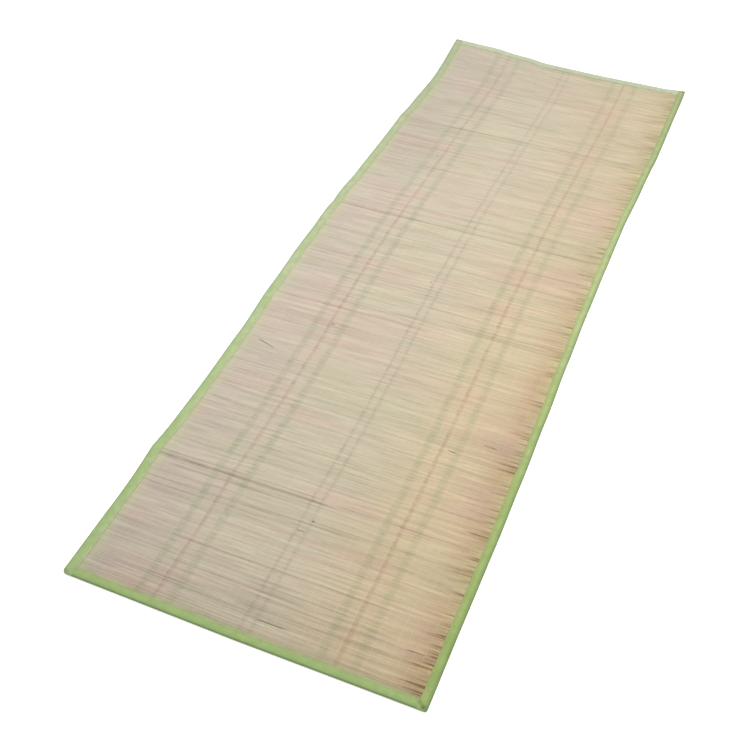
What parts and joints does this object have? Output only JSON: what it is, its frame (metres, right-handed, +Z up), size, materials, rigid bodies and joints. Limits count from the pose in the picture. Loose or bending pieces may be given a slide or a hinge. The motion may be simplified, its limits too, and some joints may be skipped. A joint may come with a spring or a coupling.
{
  "type": "straw beach mat",
  "caption": "Thin woven straw beach mat lying open, with soft fold creases and cloth tape bound over its edges.",
  "frame": {"origin": "on the floor, below the middle of the mat's outline", "axes": "+X across the mat, +Y along its length towards the end that curls up, +Z up"},
  "size_m": [0.616, 1.8019, 0.0262],
  "materials": {
    "straw": "dry matt straw with a faint natural sheen",
    "tape": "matt woven cloth tape"
  },
  "bodies": {
    "root": {"straw_panel": "straw", "binding_left": "tape", "binding_right": "tape", "binding_near": "tape", "binding_far": "tape"}
  },
  "joints": []
}
